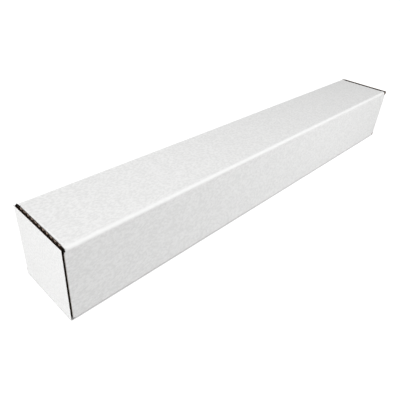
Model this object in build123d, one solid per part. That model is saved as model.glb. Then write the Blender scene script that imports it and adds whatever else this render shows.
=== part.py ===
from build123d import *
import os
from math import cos, hypot, radians

# Square mailing tube, folded from one die-cut sheet of corrugated board.
# The flutes run round the tube. X is across it, Y along it and Z up.
# The near end is at -Y. Its closure flap hangs on the -X wall, and the
# far end is the same end turned half round, with its flap on the +X wall.

# Sizes, in millimetres
inside_width = 76.2
inside_height = 76.2
inside_length = 609.6
liner = 0.3
flute_height = 2.5
medium = 0.2
flute_pitch = 6.5
crest_width = 1.3
crest_rounding = 0.45
long_fold_radius = 3.4
end_fold_radius = 2.4
inside_fold_radius = 0.4
dust_flap_reach = 28.0
dust_flap_side_gap = 2.5
dust_flap_corner = 6.0
dust_flap_gap = 0.8
wall_end_gap = 0.3
crease_relief = 5.0
relief_setback = 1.0
flap_floor_gap = 0.4
free_edge_phase = 1.0
edge_groove_depth = 4.0
glue_tab_width = 32.0
seam_setback = 0.5

# Sizes that follow
board = flute_height + 2 * liner
width = inside_width + 2 * board
height = inside_height + 2 * board
length = inside_length + 2 * (2 * board + dust_flap_gap)
left = -width / 2
near = -length / 2
wall_end = near + board + wall_end_gap
dust_face = near + board + dust_flap_gap
dust_half = inside_width / 2 - dust_flap_side_gap
fold_point = end_fold_radius * (1 - cos(radians(45)))
hinge_x = left + fold_point
hinge_y = near + fold_point
past = 10.0


def block(x_span, y_span, z_span):
    """A box between two values on each axis."""
    size = [high - low for low, high in (x_span, y_span, z_span)]
    middle = [(high + low) / 2 for low, high in (x_span, y_span, z_span)]
    return Pos(*middle) * Box(*size)


def flank_run():
    """How far a flute's side runs along the board while it crosses it."""
    hole_height = flute_height - medium
    base_half = (flute_pitch - crest_width) / 2
    low, high = 0.0, base_half
    for _ in range(60):
        run = (low + high) / 2
        gap = (flute_pitch / 2 - 2 * base_half + run) * hole_height + medium * run
        if gap > medium * hypot(hole_height, run):
            high = run
        else:
            low = run
    return run


def flute_mouth(middle, from_inner):
    """One flute's section. y is 0 on the board's outer face and grows inwards."""
    base_half = (flute_pitch - crest_width) / 2
    tip_half = base_half - flank_run()
    base = board - liner if from_inner else liner
    tip = liner + medium if from_inner else board - liner - medium
    corners = [
        (middle - base_half, base),
        (middle + base_half, base),
        (middle + tip_half, tip),
        (middle - tip_half, tip),
    ]
    mouth = make_face(Polyline(*corners, close=True))
    tips = [corner for corner in mouth.vertices() if abs(corner.Y - tip) < medium / 2]
    return fillet(tips, min(crest_rounding, 0.9 * tip_half))


def flute_row(start, stop, phase):
    """Sections of the whole flutes between start and stop, in both rows.

    phase is where the middle of one inner flute lies.
    """
    half_step = flute_pitch / 2
    reach = (flute_pitch - crest_width) / 2
    first = int((start - phase) // half_step) - 1
    last = int((stop - phase) // half_step) + 1
    mouths = []
    for step in range(first, last + 1):
        middle = phase + step * half_step
        if start <= middle - reach and middle + reach <= stop:
            mouths.append(flute_mouth(middle, from_inner=step % 2 == 0))
    return Sketch() + mouths


def tube_section():
    """The walls round the tube, with the glue tab and the seam's open edge."""
    outside = Pos(0, height / 2) * Rectangle(width, height)
    seam_corner = outside.vertices().sort_by(Axis.Y)[:2].sort_by(Axis.X)[0]
    folds = [corner for corner in outside.vertices() if corner != seam_corner]
    outside = fillet(folds, long_fold_radius)
    inside = Pos(0, height / 2) * RectangleRounded(inside_width, inside_height, inside_fold_radius)
    tab_middle = left + board + glue_tab_width / 2
    tab = Pos(tab_middle, 1.5 * board) * Rectangle(glue_tab_width, board)
    # The wall's lower fold turns in above the floor panel, whose cut edge stays square
    fold_middle = (left + long_fold_radius, board + long_fold_radius)
    fold_square = Pos(left + long_fold_radius / 2, board + long_fold_radius / 2)
    fold_gap = fold_square * Rectangle(long_fold_radius, long_fold_radius)
    fold_gap -= Pos(*fold_middle) * Circle(long_fold_radius)
    setback = Pos(left + seam_setback / 2, board / 2) * Rectangle(seam_setback, board)
    return outside - inside + tab - fold_gap - setback


def seam_flutes():
    """The flutes that the floor panel's cut edge shows along the seam."""
    row = flute_row(wall_end + flute_pitch, -wall_end - flute_pitch, 0)
    side = Plane(origin=(left + seam_setback, 0, 0), x_dir=(0, 1, 0), z_dir=(1, 0, 0))
    return extrude(side * row, edge_groove_depth)


def near_wall_cut():
    """What the near end takes off the walls, seen from above."""
    fold_start = (left, near + end_fold_radius)
    hinge = (hinge_x, hinge_y)
    outline = [
        Line((left - past, near + end_fold_radius), fold_start),
        RadiusArc(fold_start, hinge, -end_fold_radius),
        Line(hinge, (left + board, wall_end)),
        Line((left + board, wall_end), (-left + past, wall_end)),
        Line((-left + past, wall_end), (-left + past, near - past)),
        Line((-left + past, near - past), (left - past, near - past)),
        Line((left - past, near - past), (left - past, near + end_fold_radius)),
    ]
    return make_face(Curve() + outline)


def dust_flap():
    """The upper near dust flap with its fold, turned in behind the closure flap."""
    top = height
    fold_end = dust_face + board + end_fold_radius
    low = top - board - dust_flap_reach
    profile = [
        (fold_end, top),
        (dust_face, top),
        (dust_face, low),
        (dust_face + board, low),
        (dust_face + board, top - board),
        (fold_end, top - board),
    ]
    face = make_face(Polyline(*profile, close=True))
    outer = [v for v in face.vertices() if v.X < dust_face + liner and v.Y > top - liner]
    face = fillet(outer, end_fold_radius)
    inner = [
        v
        for v in face.vertices()
        if abs(v.X - dust_face - board) < liner and abs(v.Y - top + board) < liner
    ]
    face = fillet(inner, inside_fold_radius)
    side = Plane(origin=(-dust_half, 0, 0), x_dir=(0, 1, 0), z_dir=(1, 0, 0))
    flap = extrude(side * face, 2 * dust_half)
    corners = [
        edge
        for edge in flap.edges().filter_by(Axis.Y)
        if edge.center().Z < low + liner
    ]
    flap = chamfer(corners, dust_flap_corner)
    core = (dust_face + liner, dust_face + board - liner)
    mouth_half = dust_half - dust_flap_corner
    flap -= block((-mouth_half, mouth_half), core, (low - past, low + edge_groove_depth))
    return flap


def near_end_of(walls):
    """The walls with their near end cut, and both dust flaps folded in there."""
    cut = extrude(near_wall_cut(), height + 2 * past, dir=(0, 0, 1))
    walls -= Pos(0, 0, -past) * cut
    for low, high in ((-past, crease_relief), (height - crease_relief, height + past)):
        slot = (near - past, wall_end + relief_setback)
        walls -= block((left - past, left + board), slot, (low, high))
    # The open groove in the cut end of the wall that carries no flap
    core = (-left - board + liner, -left - liner)
    groove = (wall_end - past, wall_end + edge_groove_depth)
    straight = (long_fold_radius, height - long_fold_radius)
    walls -= block(core, groove, straight)
    upper = dust_flap()
    lower = Pos(0, 0, height) * Rot(0, 180, 0) * upper
    panel_end = (wall_end - past, dust_face + board + end_fold_radius)
    walls -= block((-dust_half, dust_half), panel_end, (height - board, height + past))
    walls -= block((-dust_half, dust_half), panel_end, (-past, board))
    return walls + upper + lower


def tube():
    """The four walls, the glue tab and the four dust flaps, in one piece."""
    walls = extrude(Plane.XZ * tube_section(), length, dir=(0, 1, 0))
    walls = Pos(0, near, 0) * walls - seam_flutes()
    # The tab stops short of the dust flaps that fold in beside it
    tab = (left + board, left + board + glue_tab_width + past)
    tab_end = dust_face + board + wall_end_gap
    above_floor = (board, 2 * board)
    walls -= block(tab, (near - past, tab_end), above_floor)
    walls -= block(tab, (-tab_end, -near + past), above_floor)
    walls = near_end_of(walls)
    # The far end is the near end turned half round, and the seam stays where it is
    walls = Rot(0, 0, 180) * walls
    walls = near_end_of(walls)
    return Rot(0, 0, 180) * walls


def near_flap():
    """The near closure flap: two liners and the waved medium between them."""
    panel = Pos(0, near + board / 2) * Rectangle(width, board)
    row = flute_row(left + board, -left + flute_pitch, -left - free_edge_phase)
    panel -= Pos(0, near) * row
    flap = extrude(panel, height - flap_floor_gap, dir=(0, 0, 1))
    flap = Pos(0, 0, flap_floor_gap) * flap
    # The rounded fold, along the crease alone
    fold_start = (left, near + end_fold_radius)
    fold_stop = (left + end_fold_radius, near)
    hinge = (hinge_x, hinge_y)
    outline = [
        Line((left - past, near - past), (left + end_fold_radius, near - past)),
        Line((left + end_fold_radius, near - past), fold_stop),
        RadiusArc(fold_stop, hinge, end_fold_radius),
        Line(hinge, (left + board, near + board)),
        Line((left + board, near + board), (left + board, near + board + past)),
        Line((left + board, near + board + past), (left - past, near + board + past)),
        Line((left - past, near + board + past), (left - past, near - past)),
    ]
    corner = extrude(make_face(Curve() + outline), height - 2 * crease_relief, dir=(0, 0, 1))
    flap -= Pos(0, 0, crease_relief) * corner
    # Above and below the crease the edge is cut, and its flute stands open
    core = (near + liner, near + board - liner)
    for span in ((height - crease_relief, height + past), (-past, crease_relief)):
        flap -= block((left - past, left + board - medium), core, span)
    return flap


nodes = {"tube": tube(), "near_closure_flap": near_flap()}
nodes["far_closure_flap"] = Rot(0, 0, 180) * nodes["near_closure_flap"]

os.makedirs("parts", exist_ok=True)
for name, solid in nodes.items():
    export_step(solid, f"parts/{name}.step")
print("overall size, mm:", round(width, 2), round(length, 2), round(height, 2))
print("hinge line, mm:", round(hinge_x, 3), round(hinge_y, 3))
print("dust flap inner face, mm:", round(dust_face + board, 3))
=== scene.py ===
import math

import bmesh
import bpy
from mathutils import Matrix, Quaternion, Vector


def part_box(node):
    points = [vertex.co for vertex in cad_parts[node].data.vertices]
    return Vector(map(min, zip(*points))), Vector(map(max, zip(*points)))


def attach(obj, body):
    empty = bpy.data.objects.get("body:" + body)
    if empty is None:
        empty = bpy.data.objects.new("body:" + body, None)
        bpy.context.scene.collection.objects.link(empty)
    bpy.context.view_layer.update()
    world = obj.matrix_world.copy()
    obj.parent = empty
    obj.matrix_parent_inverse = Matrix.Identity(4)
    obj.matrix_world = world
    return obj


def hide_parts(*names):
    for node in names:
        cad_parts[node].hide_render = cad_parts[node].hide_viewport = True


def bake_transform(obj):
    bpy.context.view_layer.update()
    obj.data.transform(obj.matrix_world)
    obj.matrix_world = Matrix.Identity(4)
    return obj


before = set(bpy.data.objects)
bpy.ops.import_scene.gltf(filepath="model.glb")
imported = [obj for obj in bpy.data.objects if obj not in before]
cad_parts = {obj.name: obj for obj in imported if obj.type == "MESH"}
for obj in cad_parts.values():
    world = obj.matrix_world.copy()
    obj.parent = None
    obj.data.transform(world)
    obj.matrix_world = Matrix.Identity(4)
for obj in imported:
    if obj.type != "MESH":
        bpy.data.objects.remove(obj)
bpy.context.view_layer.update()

# White liner of the walls: one sheet of bleached paper on the outside of the board. It is
# folded round the four walls with soft rounded folds, and its last panel is the glue tab,
# which is stuck to the inside of the floor panel. Its ends turn in as four dust flaps.
MM = 0.001
QUARTER = math.radians(90)
NEARLY = 0.005 * MM
FAR_OFF = 1.0
ANYWHERE = (-FAR_OFF, FAR_OFF)
SMOOTH_BELOW = math.radians(40)

flap_low, flap_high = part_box("near_closure_flap")
left, right, top = flap_low.x, flap_high.x, flap_high.z
near, board = flap_low.y, flap_high.y - flap_low.y
liner = 0.3 * MM
flute_pitch = 6.5 * MM
long_fold = 3.4 * MM
sharp_fold = 2 * MM
fold_steps = 7
seam_setback = 0.5 * MM
glue_tab = 32 * MM
tab_edge = left + board + glue_tab

# Lengths along the tube, each from its middle: the walls, the outside of the folded dust
# flaps behind the closure flaps, and the glue tab between the dust flaps
end_gap = 0.3 * MM
dust_gap = 0.8 * MM
walls_half = -near - board - end_gap
dust_face = -near - board - dust_gap
tab_half = dust_face - board - end_gap

# The dust flaps' folds and the relief cuts beside the creases, at the near end (-1) and at
# the far end (1), where the board is folded more softly and cut back further
dust_side_gap = 2.5 * MM
dust_half = right - board - dust_side_gap
dust_reach = 28 * MM
dust_corner = 6 * MM
dust_folds = {-1: 1.3 * MM, 1: 3.4 * MM}
relief = 5 * MM
relief_backs = {-1: 0.2 * MM, 1: 2.4 * MM}


def flat_sheet(name, low, high, across=1, up=1):
    """A flat sheet between two corners that share their X, Y or Z, left open for editing.

    It has that many equal parts across and up.
    """
    size = [b - a for a, b in zip(low, high)]
    turn, scale = (0, 0, 0), (size[0], size[1], 1)
    if abs(size[1]) < NEARLY:
        turn, scale = (QUARTER, 0, 0), (size[0], size[2], 1)
    if abs(size[0]) < NEARLY:
        turn, scale = (QUARTER, 0, QUARTER), (size[1], size[2], 1)
    middle = [(a + b) / 2 for a, b in zip(low, high)]
    bpy.ops.object.select_all(action="DESELECT")
    bpy.ops.mesh.primitive_grid_add(
        x_subdivisions=across, y_subdivisions=up, size=1, location=middle, rotation=turn
    )
    sheet = bpy.context.object
    sheet.scale = scale
    bpy.ops.object.transform_apply(location=True, rotation=True, scale=True)
    sheet.name = sheet.data.name = name
    bpy.ops.object.mode_set(mode="EDIT")
    return sheet


def pick(x=ANYWHERE, y=ANYWHERE, z=ANYWHERE):
    """Selects the points of the open sheet in that region, and what lies between them."""
    bpy.ops.mesh.select_all(action="DESELECT")
    mesh = bmesh.from_edit_mesh(bpy.context.object.data)
    chosen = set()
    for point in mesh.verts:
        place = zip(point.co, (x, y, z))
        if all(low - NEARLY <= at <= high + NEARLY for at, (low, high) in place):
            chosen.add(point)
            point.select = True
    for part in list(mesh.edges) + list(mesh.faces):
        if chosen.issuperset(part.verts):
            part.select = True
    bmesh.update_edit_mesh(bpy.context.object.data)


def extrude(run):
    """Draws the selected edge of the open sheet out by that much on each axis."""
    bpy.ops.mesh.extrude_region_move(TRANSFORM_OT_translate={"value": run})


def bend(angle, center, axis):
    """Carries the selected edge round part of a circle, in the few flat steps of a fold."""
    bpy.ops.mesh.spin(steps=fold_steps, angle=angle, center=center, axis=axis)


def beyond(end, distance):
    """The stretch of Y past a distance from the middle, at the near end (-1) or far end (1)."""
    return tuple(sorted((end * distance, end * FAR_OFF)))


def cut_out(panel, window):
    """Slices a panel along the sides of a window, one axis after another, and takes it out."""
    region = dict(panel)
    for axis, span in window.items():
        normal = Vector([name == axis for name in "xyz"])
        for value in span:
            if abs(value) < FAR_OFF:
                pick(**region)
                bpy.ops.mesh.bisect(plane_co=normal * value, plane_no=normal)
        region[axis] = span
    pick(**region)
    bpy.ops.mesh.delete(type="FACE")


def wrap_round_walls(tight_fold=long_fold):
    """Carries the sheet on the floor panel up and round the walls, and in as the glue tab.

    tight_fold is the radius of the first fold and of the one that faces it, at the upper left.
    """
    pick(x=(right - tight_fold, right))
    # The centre of each fold, and the run of flat board that follows it
    turns = [
        ((right - tight_fold, tight_fold), (0, 0, top - long_fold - tight_fold)),
        ((right - long_fold, top - long_fold), (left - right + long_fold + tight_fold, 0, 0)),
        ((left + tight_fold, top - tight_fold), (0, 0, board + long_fold + tight_fold - top)),
        ((left + long_fold, board + long_fold), (tab_edge - left - long_fold, 0, 0)),
    ]
    for (x, z), run in turns:
        bend(QUARTER, (x, 0, z), (0, 1, 0))
        extrude(run)


def cut_ends(shallow, deep, folds):
    """Cuts the ends of the wrapped sheet, which lies between two depths in the board.

    The top and floor panels are cut back to where the dust flaps' folds begin, the glue tab
    is cut short of the flaps, and relief cuts free both ends of each closure flap's crease.
    folds has the radius of the dust flaps' folds at each end.
    """
    ceiling, floor = (top - deep, top - shallow), (shallow, deep)
    tab = {"x": (left + long_fold, tab_edge), "z": (board + shallow, board + deep)}
    for end in (-1, 1):
        panel_end = dust_face - deep - folds[end]
        for level in (ceiling, floor):
            window = {"y": beyond(end, panel_end), "x": (-dust_half, dust_half)}
            cut_out({"z": level}, window)
        cut_out(tab, {"y": beyond(end, tab_half)})
        hinge_side = (left, -dust_half) if end < 0 else (dust_half, right)
        relief_end = beyond(end, walls_half - relief_backs[end])
        for slot in ((-FAR_OFF, relief), (top - relief, FAR_OFF)):
            cut_out({}, {"x": hinge_side, "y": relief_end, "z": slot})


def taper_flap(depths, tip, side):
    """Cuts both corners of a dust flap off at 45 degrees, so that it folds in without catching."""
    for hand in (-1, 1):
        pick(y=depths, z=tuple(sorted((tip, tip + side * (dust_reach + board)))))
        corner = (hand * (dust_half - dust_corner), 0, tip)
        bpy.ops.mesh.bisect(plane_co=corner, plane_no=(hand, 0, -side), clear_outer=True)


def turn_in_dust_flaps(depth, folds):
    """Folds a flap in from each end of the top and floor panels of the liner at that depth."""
    face = dust_face - depth
    for end in (-1, 1):
        for side in (-1, 1):
            level = top - depth if side > 0 else depth
            tip = level - side * (board - depth + dust_reach)
            radius = folds[end]
            crease = end * (face - radius)
            pick(x=(-dust_half, dust_half), y=(crease, crease), z=(level, level))
            bend(end * side * QUARTER, (0, crease, level - side * radius), (1, 0, 0))
            extrude((0, 0, tip - level + side * radius))
            taper_flap((end * face, end * face), tip, side)


def press_over_cut_ends():
    """Bends the liner's cut end in over the flutes, where a closure flap's free side meets it.

    That is the near end of the right wall, and the far end of the left one.
    """
    lip = ((-0.1 * MM, -0.7 * MM), (-0.35 * MM, -0.65 * MM))
    for hand in (-1, 1):
        wall, end = hand * right, -hand * walls_half
        pick(x=(wall, wall), y=(end, end), z=(sharp_fold, top - sharp_fold))
        for inwards, onwards in lip:
            extrude((hand * inwards, hand * onwards, 0))


def thicken(sheet, thickness, offset, outward, papers):
    """Gives the sheet its thickness, behind its face (offset -1) or half on each side (0).

    outward is a point and the way that the face looks there. papers are the materials of the
    face, the back and the cut edges.
    """
    pick()
    bpy.ops.mesh.remove_doubles(threshold=NEARLY)
    bpy.ops.mesh.normals_make_consistent(inside=False)
    mesh = bmesh.from_edit_mesh(sheet.data)
    place, way = Vector(outward[0]), Vector(outward[1])
    face = min(mesh.faces, key=lambda face: (face.calc_center_median() - place).length)
    if face.normal.dot(way) < 0:
        bpy.ops.mesh.flip_normals()
    bpy.ops.object.mode_set(mode="OBJECT")
    body = sheet.modifiers.new("thickness", "SOLIDIFY")
    body.thickness = thickness
    body.offset = offset
    body.use_even_offset = True
    body.material_offset, body.material_offset_rim = 1, 2
    for paper in papers:
        sheet.data.materials.append(paper)
    bpy.ops.object.modifier_apply(modifier=body.name)
    bpy.ops.object.shade_smooth_by_angle(angle=SMOOTH_BELOW)
    even = sheet.modifiers.new("even_light", "WEIGHTED_NORMAL")
    even.keep_sharp = True
    bpy.ops.object.modifier_apply(modifier=even.name)


class Wire:
    """A shader socket that can be added and multiplied like a number."""

    def __init__(self, tree, socket):
        self.tree = tree
        self.socket = socket

    def node(self, kind, settings=None, inputs=None, output=0):
        """One output of a new node, whose inputs are set to values or linked to wires."""
        made = self.tree.nodes.new(kind)
        for name, value in (settings or {}).items():
            setattr(made, name, value)
        for name, value in (inputs or {}).items():
            if isinstance(value, Wire):
                self.tree.links.new(value.socket, made.inputs[name])
            else:
                made.inputs[name].default_value = value
        return Wire(self.tree, made.outputs[output])

    def maths(self, operation, *values):
        """The result of a Math node on this and the values."""
        values = (self, *values)
        return self.node("ShaderNodeMath", {"operation": operation}, dict(enumerate(values)))

    def __add__(self, other):
        return self.maths("ADD", other)

    def __mul__(self, other):
        return self.maths("MULTIPLY", other)

    __radd__ = __add__
    __rmul__ = __mul__

    def between(self, low, high):
        """0 below low and 1 above high, with a smooth step from one to the other."""
        settings = {"interpolation_type": "SMOOTHSTEP"}
        return self.node("ShaderNodeMapRange", settings, {0: self, 1: low, 2: high})

    def mix(self, first, second):
        """The first colour where this is 0, and the second where it is 1."""
        return self.node("ShaderNodeMix", {"data_type": "RGBA"}, {0: self, 6: first, 7: second}, 2)

    def grain(self, size, detail=2.0, longer=(1, 1, 1)):
        """Cloudy noise whose specks have that size, and are longer along X, Y and Z by longer."""
        scale = [1 / (size * share) for share in longer]
        place = self.node("ShaderNodeMapping", None, {"Vector": self, "Scale": scale})
        inputs = {"Vector": place, "Scale": 1.0, "Detail": detail}
        return self.node("ShaderNodeTexNoise", None, inputs)

    def bump(self, strength, depth):
        """The surface raised where this is high, by up to that depth."""
        inputs = {"Strength": strength, "Distance": depth, "Height": self}
        return self.node("ShaderNodeBump", None, inputs)

    def along(self, axis):
        """How far along X (0), Y (1) or Z (2) this place is."""
        return self.node("ShaderNodeSeparateXYZ", None, {0: self}, output=axis)


def new_paper(name, sheen):
    """A plain paper material, its shader, and where each point of the piece lies."""
    paper = bpy.data.materials.new(name)
    paper.use_nodes = True
    tree = paper.node_tree
    shader = tree.nodes["Principled BSDF"]
    shader.inputs["Specular IOR Level"].default_value = sheen
    texture = tree.nodes.new("ShaderNodeTexCoord")
    return paper, shader, Wire(tree, texture.outputs["Object"])


def connect(shader, **wires):
    """Links wires to the shader's sockets of those names."""
    for name, wire in wires.items():
        wire.tree.links.new(wire.socket, shader.inputs[name.replace("_", " ")])


# The palest white is a painted highlight along the upper folds, where they catch the light
white_shades = ((0.815, 0.815, 0.81, 1), (0.925, 0.925, 0.92, 1))
fold_highlight_white = (0.935, 0.935, 0.93, 1)
highlight_starts, highlight_whole = 4.4 * MM, 0.7 * MM


def white_paper(name, across):
    """Bleached liner, mottled by its fibres, with the flutes behind it faintly raised.

    Along the upper folds its colour is paler, a painted highlight where the folds catch the
    light. across is the axis along which one flute follows another.
    """
    paper, shader, place = new_paper(name, sheen=0.3)
    speck = place.grain(0.9 * MM)
    fleck = place.grain(2.1 * MM, longer=(1, 1.5, 1))
    cloud = place.grain(14 * MM, detail=1.0)
    shade = (0.25 * speck + 0.67 * fleck + 0.08 * cloud).between(0.36, 0.64)
    # Painted highlight: paler colour along the upper folds, fading out within a few millimetres
    fold_highlight = place.along(0).maths("ABSOLUTE").between(right - highlight_starts, right - highlight_whole)
    fold_highlight = fold_highlight * place.along(2).between(top - highlight_starts, top - highlight_whole)
    colour = fold_highlight.mix(shade.mix(*white_shades), fold_highlight_white)
    flute = (place.along(across) * (2 * math.pi / flute_pitch)).maths("COSINE")
    fibre = place.grain(0.35 * MM, longer=(1, 3, 1))
    bump = (0.15 * flute + 0.5 * fibre + 0.6 * speck).bump(0.25, 0.06 * MM)
    connect(shader, Base_Color=colour, Roughness=0.55 + 0.2 * speck, Normal=bump)
    return paper


# Deep brown painted shade, for liner that lies in shade near a cut edge
painted_shade_brown = (0.03, 0.025, 0.022, 1)


def brown_paper(name, dark, pale, axis=0, painted_shade_span=None):
    """Unbleached paper with long fibres, dark and pale brown.

    Given a span, it turns deep brown between those two distances along the axis: painted
    shade, where the liner lies in shade by a cut edge.
    """
    paper, shader, place = new_paper(name, sheen=0.08)
    streak = place.grain(1.6 * MM, detail=3.0, longer=(1, 4, 1))
    speck = place.grain(0.5 * MM, detail=3.0)
    shade = (0.6 * streak + 0.4 * speck).between(0.3, 0.7)
    colour = shade.mix(dark, pale)
    if painted_shade_span:
        # Painted shade: deep brown over the given span along the axis
        colour = place.along(axis).maths("ABSOLUTE").between(*painted_shade_span).mix(colour, painted_shade_brown)
    bump = speck.bump(0.35, 0.08 * MM)
    connect(shader, Base_Color=colour, Roughness=0.75 + 0.2 * speck, Normal=bump)
    return paper


kraft_shades = ((0.3, 0.205, 0.135, 1), (0.42, 0.3, 0.21, 1))
kraft = brown_paper("brown_liner", *kraft_shades)
# The cut edges are darker end grain, but their near-black brown is painted shade; the same colour on
# the brown liners' backs is painted shade inside the flutes
cut_edge_and_shade = brown_paper("brown_cut_edge_and_painted_shade", (0.024, 0.016, 0.012, 1), (0.06, 0.042, 0.033, 1))
white_on_walls = white_paper("white_liner_on_walls", 1)
walls_liner = flat_sheet(
    "walls_white_liner", (left + seam_setback, -walls_half, 0), (right - sharp_fold, walls_half, 0)
)
wrap_round_walls(sharp_fold)
cut_ends(0, 0, dust_folds)
press_over_cut_ends()
turn_in_dust_flaps(0, dust_folds)
white_on_brown = (white_on_walls, kraft, cut_edge_and_shade)
thicken(walls_liner, liner, -1, ((0, 0, 0), (0, 0, -1)), white_on_brown)
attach(walls_liner, "tube")
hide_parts("tube")

# Brown liner of the walls: the sheet of unbleached paper on the inside of the board. It
# follows the white liner round every fold, one board's thickness further in.
inside_folds = {-1: 0.4 * MM, 1: 0.4 * MM}
crease_reach = 2.7 * MM
crease_z = (relief, top - relief)
inner_liner = flat_sheet(
    "walls_brown_liner",
    (left + seam_setback, -walls_half, board),
    (right - long_fold, walls_half, board),
)
wrap_round_walls()
cut_ends(board, board, inside_folds)
turn_in_dust_flaps(board, inside_folds)
# It stops where the brown liner of each closure flap's crease begins
for end, face in ((-1, left + board), (1, right - board)):
    crease = {"y": beyond(end, -near - board - crease_reach), "z": crease_z}
    cut_out({"x": (face, face)}, crease)
brown_liner = (kraft, cut_edge_and_shade, cut_edge_and_shade)
thicken(inner_liner, liner, -1, ((0, 0, board), (0, 0, 1)), brown_liner)
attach(inner_liner, "tube")

# Fluted medium of the walls: brown paper pressed into waves between the two liners. The
# flutes run round the tube, so every cut across them shows the wave, as along the seam.
medium = 0.2 * MM
crest_offset = 0.45 * MM
rows_a_flute = 4
# The medium's near-black brown is darker than its paper: painted shade for the hollows between the
# flutes
flute_paper_and_shade = brown_paper("brown_fluted_medium_and_painted_shade", (0.018, 0.011, 0.008, 1), (0.046, 0.03, 0.022, 1))
corrugated = (flute_paper_and_shade, flute_paper_and_shade, flute_paper_and_shade)


def raise_flutes(sheet, axis, rise):
    """Lifts two rows in every four of the sheet to the other liner, and rounds the crests."""
    bpy.ops.mesh.select_all(action="DESELECT")
    mesh = bmesh.from_edit_mesh(sheet.data)
    rows = sorted({round(point.co[axis], 6) for point in mesh.verts})
    raised = {row for number, row in enumerate(rows) if number % rows_a_flute > 1}
    for point in mesh.verts:
        if round(point.co[axis], 6) in raised:
            point.select = True
    bmesh.update_edit_mesh(sheet.data)
    bpy.ops.transform.translate(value=rise)
    bpy.ops.mesh.select_all(action="DESELECT")
    mesh = bmesh.from_edit_mesh(sheet.data)
    for edge in mesh.edges:
        if abs(edge.verts[0].co[axis] - edge.verts[1].co[axis]) < NEARLY:
            edge.select = True
    bmesh.update_edit_mesh(sheet.data)
    bpy.ops.mesh.bevel(offset=crest_offset, segments=2, affect="EDGES")


outer_crest, inner_crest = liner + medium / 2, board - liner - medium / 2
walls_medium = flat_sheet(
    "walls_fluted_medium",
    (left + seam_setback, -walls_half, outer_crest),
    (right - long_fold, walls_half, outer_crest),
    up=rows_a_flute * round(2 * walls_half / flute_pitch),
)
raise_flutes(walls_medium, 1, (0, 0, inner_crest - outer_crest))
wrap_round_walls()
cut_ends(outer_crest, inner_crest, inside_folds)
thicken(walls_medium, medium, 0, ((0, 0, 0), (0, 0, -1)), corrugated)
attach(walls_medium, "tube")

# Fluted medium of the dust flaps: short panels of the same waves, whose flutes run across the
# tube. It starts below the crease, where the board is crushed flat, and ends open at the tip.
row_step = flute_pitch / rows_a_flute
dust_rows = 17
dust_tip = top - board - dust_reach
crest_y = (-dust_face + outer_crest, -dust_face + inner_crest)


def turned_copy(piece, name, turn, move=(0, 0, 0)):
    """A copy of the piece with its own mesh, turned about the origin and then moved."""
    bpy.ops.object.select_all(action="DESELECT")
    piece.select_set(True)
    bpy.context.view_layer.objects.active = piece
    bpy.ops.object.duplicate()
    copy = bpy.context.object
    copy.name = copy.data.name = name
    copy.rotation_euler = turn
    copy.location = move
    bpy.ops.object.transform_apply(location=True, rotation=True, scale=False)
    return copy


half_round = (0, 0, 2 * QUARTER)
over = (0, 2 * QUARTER, 0)
upper_medium = flat_sheet(
    "near_upper_dust_flap_medium",
    (-dust_half, crest_y[0], dust_tip),
    (dust_half, crest_y[0], dust_tip + dust_rows * row_step),
    up=dust_rows,
)
raise_flutes(upper_medium, 2, (0, crest_y[1] - crest_y[0], 0))
taper_flap(crest_y, dust_tip, 1)
thicken(upper_medium, medium, 0, ((0, crest_y[0], top), (0, -1, 0)), corrugated)
lower_medium = turned_copy(upper_medium, "near_lower_dust_flap_medium", over, (0, 0, top))
for piece in (upper_medium, lower_medium):
    far_name = piece.name.replace("near", "far")
    for flap in (piece, turned_copy(piece, far_name, half_round)):
        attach(flap, "tube")

# White liners of the closure flaps: the panel that shuts each end. It hangs on one wall and
# covers the whole end of the tube, with plain cut edges at its top, bottom and free side.
flap_bottom = flap_low.z
end_fold = 1.4 * MM
crease_run = 2 * MM
crease_x = left + end_fold + crease_run
tongue = board - 0.1 * MM
white_on_flap = white_paper("white_liner_on_flaps", 0)


def finish_flap(piece, replaced=False):
    """Copies a piece of the near flap to the far end, and attaches both to their flaps' bodies."""
    copy = turned_copy(piece, piece.name.replace("near", "far"), half_round)
    for flap, end in ((piece, "near"), (copy, "far")):
        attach(flap, end + "_flap")
        if replaced:
            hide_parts(end + "_closure_flap")


flap_liner = flat_sheet("near_flap_white_liner", (left, near, flap_bottom), (right, near, top))
cut_out({}, {"z": crease_z, "x": (-FAR_OFF, crease_x)})
pick(x=(left, left), z=(flap_bottom, relief))
extrude((0, tongue, 0))
papers = (white_on_flap, kraft, cut_edge_and_shade)
thicken(flap_liner, liner, -1, ((0, near, top / 2), (0, -1, 0)), papers)
finish_flap(flap_liner, replaced=True)

# Brown liners of the closure flaps, on the face that looks into the tube. The knife ran along
# a flute at the free side and pressed this liner towards the white one there.
flap_back = near + board
# Painted shade: the face goes deep brown along its top edge, which lies in shade in the gap by the
# dust flap's fold
kraft_on_flap = brown_paper(
    "brown_liner_on_flaps", *kraft_shades, axis=2, painted_shade_span=(top - 2.5 * MM, top - 1 * MM)
)
# The back is paler than the face, painted light inside the flutes' hollows, and deep brown within a
# few millimetres of the flap's sides, painted shade as in the groove at the free edge
kraft_in_flutes = brown_paper(
    "brown_liner_behind_flutes",
    (0.44, 0.33, 0.265, 1),
    (0.6, 0.465, 0.38, 1),
    painted_shade_span=(right - 6 * MM, right - 4 * MM),
)
# The pressing is full up to the lower of these two heights, and gone at the upper one
press_fades = (top - 2 * MM, top - relief)
pressed = {right - 3.2 * MM: 0, right - 1.6 * MM: -0.8 * MM, right: -0.5 * MM}
flap_inner = flat_sheet(
    "near_flap_brown_liner", (left, flap_back, flap_bottom), (right, flap_back, top)
)
for z in press_fades:
    pick()
    bpy.ops.mesh.bisect(plane_co=(0, 0, z), plane_no=(0, 0, 1))
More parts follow.
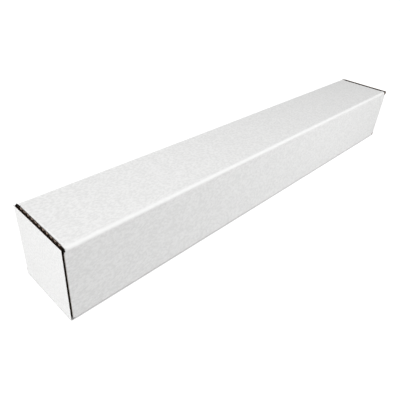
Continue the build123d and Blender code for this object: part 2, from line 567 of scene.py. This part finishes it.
# Each move takes all that lies further out along with it
for x, move in pressed.items():
    pick()
    bpy.ops.mesh.bisect(plane_co=(x, 0, 0), plane_no=(1, 0, 0))
    pick(x=(x, right), z=(0, top - relief))
    bpy.ops.transform.translate(value=(0, move, 0))
cut_out({}, {"z": crease_z, "x": (-FAR_OFF, left + board + crease_reach)})
papers = (kraft_on_flap, kraft_in_flutes, cut_edge_and_shade)
thicken(flap_inner, liner, -1, ((0, flap_back, top / 2), (0, 1, 0)), papers)
finish_flap(flap_inner)

# Fluted medium of the closure flaps. Its flutes stand upright, so the top and bottom edges
# show the wave end on, and the free edge is cut along a flute, which gapes as a dark groove.
free_phase = 1 * MM
# The last two raised rows are a crest, whose middle lies free_phase inside the free edge
last_row = right - free_phase + 1.5 * row_step
flap_rows = math.ceil((last_row - left) / row_step)
flap_medium = flat_sheet(
    "near_flap_fluted_medium",
    (last_row - flap_rows * row_step, near + inner_crest, flap_bottom),
    (last_row, near + inner_crest, top),
    across=flap_rows,
)
raise_flutes(flap_medium, 0, (0, outer_crest - inner_crest, 0))
# The grid's last flutes run past both sides of the flap, and are trimmed there
for x, hand in ((right - medium, 1), (left + medium, -1)):
    pick()
    bpy.ops.mesh.bisect(plane_co=(x, 0, 0), plane_no=(hand, 0, 0), clear_outer=True)
cut_out({}, {"x": (-FAR_OFF, crease_x), "z": crease_z})
thicken(flap_medium, medium, 0, ((0, near, top / 2), (0, -1, 0)), corrugated)
finish_flap(flap_medium)

# Creases of the closure flaps: where the board was pressed thin across the end of a wall.
# The white liner bends round the outside of the crease and the brown one round the inside.
crease_parts = 5


def finish_crease(piece):
    """Copies a crease liner to the far end, and bakes each one's place into its mesh.
    """
    copy = turned_copy(piece, piece.name.replace("near", "far"), half_round)
    for crease, flap, hand in ((piece, "near_flap", 1), (copy, "far_flap", -1)):
        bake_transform(crease)


fold_y = near + end_fold
outer_crease = flat_sheet(
    "near_crease_white_liner", (left, fold_y, crease_z[0]), (left, -walls_half, crease_z[1])
)
pick(y=(fold_y, fold_y))
bend(-QUARTER, (left + end_fold, fold_y, 0), (0, 0, 1))
extrude((crease_run, 0, 0))
place = (left, -walls_half, top / 2)
thicken(outer_crease, liner, -1, (place, (-1, 0, 0)), white_on_brown)
finish_crease(outer_crease)

corner, crease_end = left + board, flap_back + crease_reach
inner_crease = flat_sheet(
    "near_crease_brown_liner",
    (corner, flap_back, crease_z[0]),
    (corner, crease_end, crease_z[1]),
    across=crease_parts,
)
pick(y=(flap_back, flap_back))
for part in range(crease_parts):
    extrude((crease_reach / crease_parts, 0, 0))
place = (corner, crease_end, top / 2)
thicken(inner_crease, liner, -1, (place, (1, 0, 0)), brown_liner)
finish_crease(inner_crease)

# Floor: a wide pale sheet that the tube lies on. It throws the lamps' light back on to the
# tube, as pale paper does. Seen directly it is white, with the tube's soft shadow on it and a
# painted line of shadow where the two touch.
floor_width = 40
painted_shadow_width = 3.5 * MM


def grey(level):
    """A colour with no hue, from 0 for black to 1 for white."""
    return (level, level, level, 1)


bpy.ops.object.select_all(action="DESELECT")
bpy.ops.mesh.primitive_plane_add(size=floor_width, location=(0, 0, 0))
floor = bpy.context.object
floor.name = "floor"
backdrop = bpy.data.materials.new("pale_backdrop")
backdrop.use_nodes = True
tree = backdrop.node_tree
tree.nodes.remove(tree.nodes["Principled BSDF"])
path = tree.nodes.new("ShaderNodeLightPath")
# Where the floor is seen, straight or mirrored, it has one look, and for the tube another
seen = Wire(tree, path.outputs["Is Camera Ray"])
for ray in ("Is Glossy Ray", "Is Transmission Ray"):
    seen = seen.maths("MAXIMUM", Wire(tree, path.outputs[ray]))
paving = seen.node("ShaderNodeBsdfDiffuse", None, {"Color": grey(0.56)})
shaded = seen.node("ShaderNodeBsdfDiffuse", None, {"Color": grey(0.45)})
# Painted shadow: the glow turns grey where the tube stands close, a thin line along where the two
# touch
painted_shadow_settings = {"samples": 16, "only_local": False}
open_air = seen.node("ShaderNodeAmbientOcclusion", painted_shadow_settings, {"Distance": painted_shadow_width}, 1)
light = open_air.between(0.4, 0.85).mix(grey(0.22), grey(0.85))
glow = seen.node("ShaderNodeEmission", None, {"Color": light, "Strength": 1.0})
both = seen.node("ShaderNodeAddShader", None, {0: shaded, 1: glow})
mixed = seen.node("ShaderNodeMixShader", None, {0: seen, 1: paving, 2: both})
tree.links.new(mixed.socket, tree.nodes["Material Output"].inputs["Surface"])
floor.data.materials.append(backdrop)

# Lamps: soft square boxes in front, above, at the right and low behind on the left, with
# daylight from all round. Each has its place and width in metres, and its power in watts.
daylight = 0.36
lamps = {
    "key": ((0.34, -2.29, 1.41), 1.0, 35.8),
    "overhead": ((0.12, -0.6, 1.1), 0.8, 2.95),
    "side": ((0.63, 0.21, 0.3), 0.6, 2.15),
    "fill": ((-1.5, 1.1, 0.15), 0.3, 11),
}
for name, (place, width, power) in lamps.items():
    bpy.ops.object.light_add(type="AREA", location=place)
    lamp = bpy.context.object
    lamp.name = lamp.data.name = name
    lamp.data.energy = power
    lamp.data.size = width
    lamp.visible_camera = False
    lamp.rotation_mode = "QUATERNION"
    lamp.rotation_quaternion = (-lamp.location).to_track_quat("-Z", "Y")
world = bpy.data.worlds.new("daylight")
bpy.context.scene.world = world
world.use_nodes = True
tree = world.node_tree
path = tree.nodes.new("ShaderNodeLightPath")
seen = Wire(tree, path.outputs["Is Camera Ray"])
strength = seen * (1 - daylight) + daylight
tree.links.new(strength.socket, tree.nodes["Background"].inputs["Strength"])
tree.nodes["Background"].inputs["Color"].default_value = grey(1)

# Camera: it looks down on the near end from the right, as the photograph does. The middle
# of its view lies a little above the middle of the picture.
camera_place = (0.27833, -0.42072, 0.30478)
camera_turn = (-41.741, -32.303, 4.573)
focal_pixels, frame_pixels, raised_pixels = 409.55, 400, 15
bpy.ops.object.camera_add(location=camera_place)
camera = bpy.context.object
camera.name = "camera"
yaw, pitch, roll = [math.radians(degrees) for degrees in camera_turn]
camera.rotation_mode = "QUATERNION"
camera.rotation_quaternion = (
    Quaternion((0, 0, 1), -yaw) @ Quaternion((1, 0, 0), QUARTER + pitch) @ Quaternion((0, 0, 1), roll)
)
camera.data.lens = camera.data.sensor_width * focal_pixels / frame_pixels
camera.data.shift_y = -raised_pixels / frame_pixels
camera.data.clip_start = 0.01
bpy.context.scene.camera = camera
bpy.context.scene.view_settings.view_transform = "Standard"
